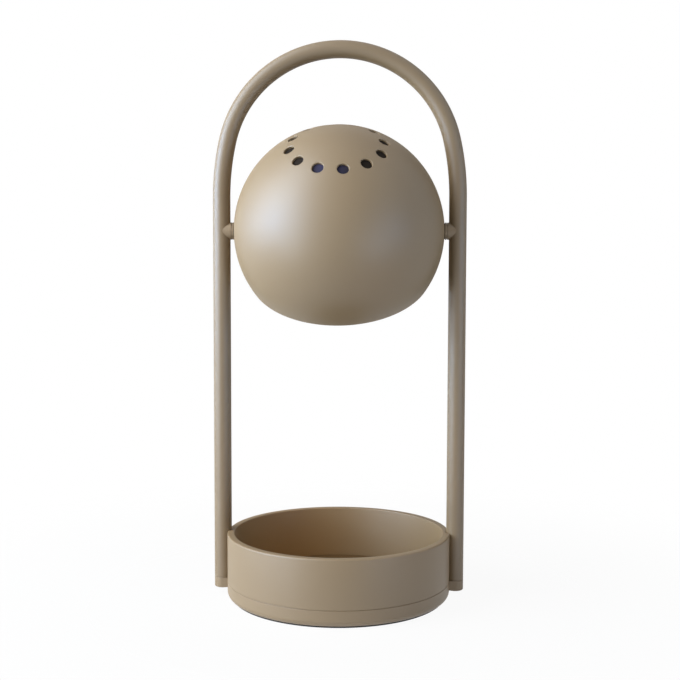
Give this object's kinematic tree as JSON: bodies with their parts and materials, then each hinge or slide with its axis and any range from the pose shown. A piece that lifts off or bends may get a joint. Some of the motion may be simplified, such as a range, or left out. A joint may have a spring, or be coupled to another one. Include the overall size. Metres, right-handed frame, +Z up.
{
  "type": "table lamp",
  "caption": "Portable table lamp: a vented ball shade tilts on side pivots in a tall tube hoop that serves as a handle and stands on a round open tray.",
  "frame": {"origin": "under the middle of the base, on the face that the lamp stands on", "axes": "+Z up, +X along the shade's pivot axis, -Y the side that the picture shows"},
  "size_m": [0.145, 0.1286, 0.3184],
  "materials": {
    "sand_paint": "satin powder coat",
    "floor_paint": "matt dark brown coat",
    "button_paint": "satin moulded, coloured to match the paint",
    "dark_pad": "matt foam rubber",
    "dark_fibre": "pressed fibre",
    "steel": "zinc plated",
    "nylon": "natural nylon",
    "switch_plastic": "moulded",
    "cell_foil": "laminated foil",
    "circuit_green": "solder resist",
    "circuit_white": "white solder resist",
    "phosphor": "silicone over the chips",
    "plain_aluminium": "mill finish",
    "black_aluminium": "black anodised",
    "white_reflector": "white, smooth",
    "opal": "opal, satin",
    "lead_insulation": "round sheath",
    "grommet_rubber": "soft"
  },
  "bodies": {
    "frame": {"hoop_tube": "sand_paint", "tray_ring": "sand_paint", "base_pan": "sand_paint", "saddle_bush_left": "sand_paint", "saddle_bush_right": "sand_paint", "pivot_spacer_left": "sand_paint", "pivot_spacer_right": "sand_paint", "tray_floor": "floor_paint", "foot_pad": "dark_pad", "friction_washer_left": "dark_fibre", "friction_washer_right": "dark_fibre", "case_screws": "steel", "board_screws": "steel", "pivot_bolt_left": "steel", "pivot_bolt_right": "steel", "spring_washer_left": "steel", "spring_washer_right": "steel", "stop_washer_left": "steel", "stop_washer_right": "steel", "usb_socket": "steel", "tact_switch": "switch_plastic", "battery_cell": "cell_foil", "control_board": "circuit_green", "power_lead": "lead_insulation"},
    "shade": {"ball_shade": "sand_paint", "mount_plate": "plain_aluminium", "plate_screws": "steel", "heat_sink": "black_aluminium", "heat_sink_screws": "steel", "led_board": "circuit_white", "led_emitter": "phosphor", "reflector": "white_reflector", "diffuser": "opal", "retaining_ring": "steel", "shade_lead": "lead_insulation", "lead_grommet": "grommet_rubber", "pivot_bearing_left": "nylon", "pivot_bearing_right": "nylon"},
    "button": {"power_button": "button_paint"}
  },
  "joints": [
    {"name": "shade_tilt", "type": "hinge", "parent": "frame", "child": "shade", "pos_m": [0, 0, 0.211], "axis": [1, 0, 0], "range_deg": [-123.3, 56.7]},
    {"name": "button_press", "type": "slide", "parent": "frame", "child": "button", "axis": [-0.309, -0.9511, 0], "range_m": [0, 0.0006], "stiffness_N_per_m": 2500, "springref_m": -0.0003}
  ]
}
